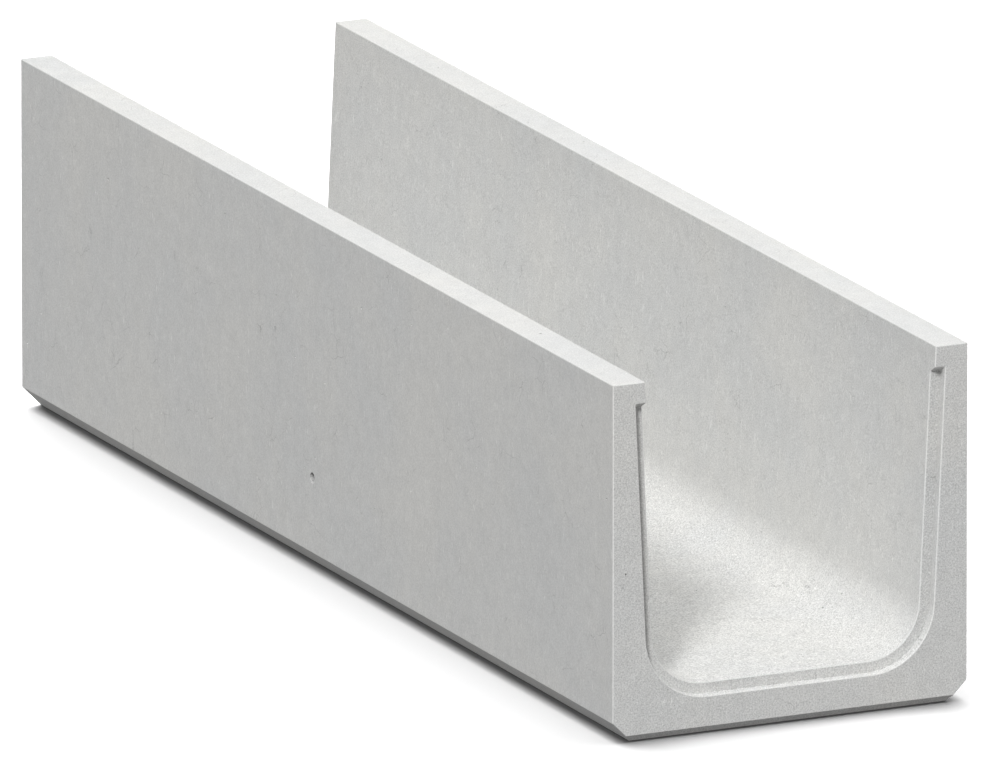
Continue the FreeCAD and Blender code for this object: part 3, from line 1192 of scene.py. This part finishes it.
def studio_dome():
    """A world that brightens towards the zenith, and that the camera sees as plain white."""
    world = bpy.data.worlds.new("studio_dome")
    world.use_nodes = True
    tree = world.node_tree
    background = tree.nodes["Background"]
    background.inputs["Color"].default_value = (1, 1, 1, 1)
    direction = tree.nodes.new("ShaderNodeTexCoord").outputs["Generated"]
    height = add_node(tree, "ShaderNodeSeparateXYZ", i0=direction).outputs["Z"]
    above = add_node(
        tree, "ShaderNodeMapRange", Value=height, To_Min=RIM_LIGHT, To_Max=ZENITH_LIGHT,
    ).outputs[0]
    is_above = math_of(tree, "GREATER_THAN", height, 0.0)
    dome = add_node(
        tree, "ShaderNodeMix", {"data_type": "FLOAT"}, i0=is_above, i2=UNDER_LIGHT, i3=above,
    ).outputs[0]
    path = tree.nodes.new("ShaderNodeLightPath")
    seen = math_of(tree, "MAXIMUM", path.outputs["Is Camera Ray"], path.outputs["Is Glossy Ray"])
    seen = math_of(tree, "MAXIMUM", seen, path.outputs["Is Transmission Ray"])
    strength = add_node(
        tree, "ShaderNodeMix", {"data_type": "FLOAT"}, i0=seen, i2=dome, i3=1.0,
    ).outputs[0]
    tree.links.new(strength, background.inputs["Strength"])
    bpy.context.scene.world = world


studio_dome()
print("the dome goes from", RIM_LIGHT, "at the rim to", ZENITH_LIGHT, "overhead")

# %% [markdown]
# ### Lamps on the casting
#
# The key lamp comes from the front left, fairly high, and is soft: the shadow of the left wall
# on the trough floor has an edge some centimetres wide. A second lamp hangs straight overhead.
# A weak fill stands low behind the right far corner. The main view hardly shows its light, but
# without it the far end and the right side would be flat and dull when seen from there.
#
# Sun lamps do for all of them, because the studio's lamps are large and far away. Power is given
# in units of pi: one unit from straight above lights a level face as a white dome does. Light
# linking keeps each lamp to what it is for. The key would otherwise throw a long shadow across
# the floor, and a product picture has only the short one that ties the object to the ground.

# %% Hang the lamps that light the casting
def lamp(name, power, width, turn, rise, lights):
    """A far lamp, with its angles in degrees, which lights only the given collection."""
    data = bpy.data.lights.new(name, "SUN")
    data.energy = power * math.pi
    data.angle = math.radians(width)
    made = bpy.data.objects.new(name, data)
    turn, rise = math.radians(turn), math.radians(rise)
    towards = Vector((
        -math.sin(turn) * math.cos(rise), -math.cos(turn) * math.cos(rise), math.sin(rise),
    ))
    made.rotation_mode = "QUATERNION"
    made.rotation_quaternion = towards.to_track_quat("Z", "Y")
    made.light_linking.receiver_collection = lights
    bpy.context.scene.collection.objects.link(made)


def collection_of(name, piece):
    """A collection with one piece in it, for light linking."""
    made = bpy.data.collections.new(name)
    made.objects.link(piece)
    return made


object_only = collection_of("lit_as_object", channel)
lamp("key", power=0.66, width=11, turn=39.5, rise=40, lights=object_only)
lamp("overhead", power=0.13, width=40, turn=0, rise=90, lights=object_only)
lamp("fill", power=0.22, width=60, turn=229, rise=8, lights=object_only)
print("key, overhead and fill lamps light the casting")

# %% [markdown]
# ## The floor
#
# The floor is one plain grey sheet, so brightly lit that it is white, like the background behind
# it. The light it would send up is already in the lower half of the dome, where it comes evenly,
# so the floor itself is hidden from the rays that would light the object or shade it.
#
# Its two lamps stand high behind the casting and are very wide, so that the shadow hugs the
# ground line, dark under the bevels and soft in front of the near end.

# %% Lay the floor
FLOOR_SIZE = 24.0
FLOOR_SUNK = 0.02 * MM
FLOOR_COLOUR = (0.2, 0.2, 0.2, 1)


def studio_floor():
    """A wide level sheet, a hair below the casting."""
    half = FLOOR_SIZE / 2
    mesh = bpy.data.meshes.new("studio_floor")
    corners = [(-half, -half), (half, -half), (half, half), (-half, half)]
    mesh.from_pydata([(x, y, -FLOOR_SUNK) for x, y in corners], [], [(0, 1, 2, 3)])
    floor = bpy.data.objects.new("studio_floor", mesh)
    bpy.context.scene.collection.objects.link(floor)
    material = bpy.data.materials.new("white_floor")
    material.use_nodes = True
    shader = material.node_tree.nodes["Principled BSDF"]
    shader.inputs["Base Color"].default_value = FLOOR_COLOUR
    shader.inputs["Roughness"].default_value = 1.0
    shader.inputs["Specular IOR Level"].default_value = 0.0
    mesh.materials.append(material)
    floor.visible_diffuse = False
    floor.visible_shadow = False
    return floor


floor = studio_floor()
floor_only = collection_of("lit_as_floor", floor)
lamp("ground", power=8.0, width=80, turn=196.5, rise=60.7, lights=floor_only)
lamp("slant", power=1.3, width=45, turn=144, rise=54.5, lights=floor_only)
bpy.context.scene.view_settings.view_transform = "Standard"
print("floor laid, with its own lamps")
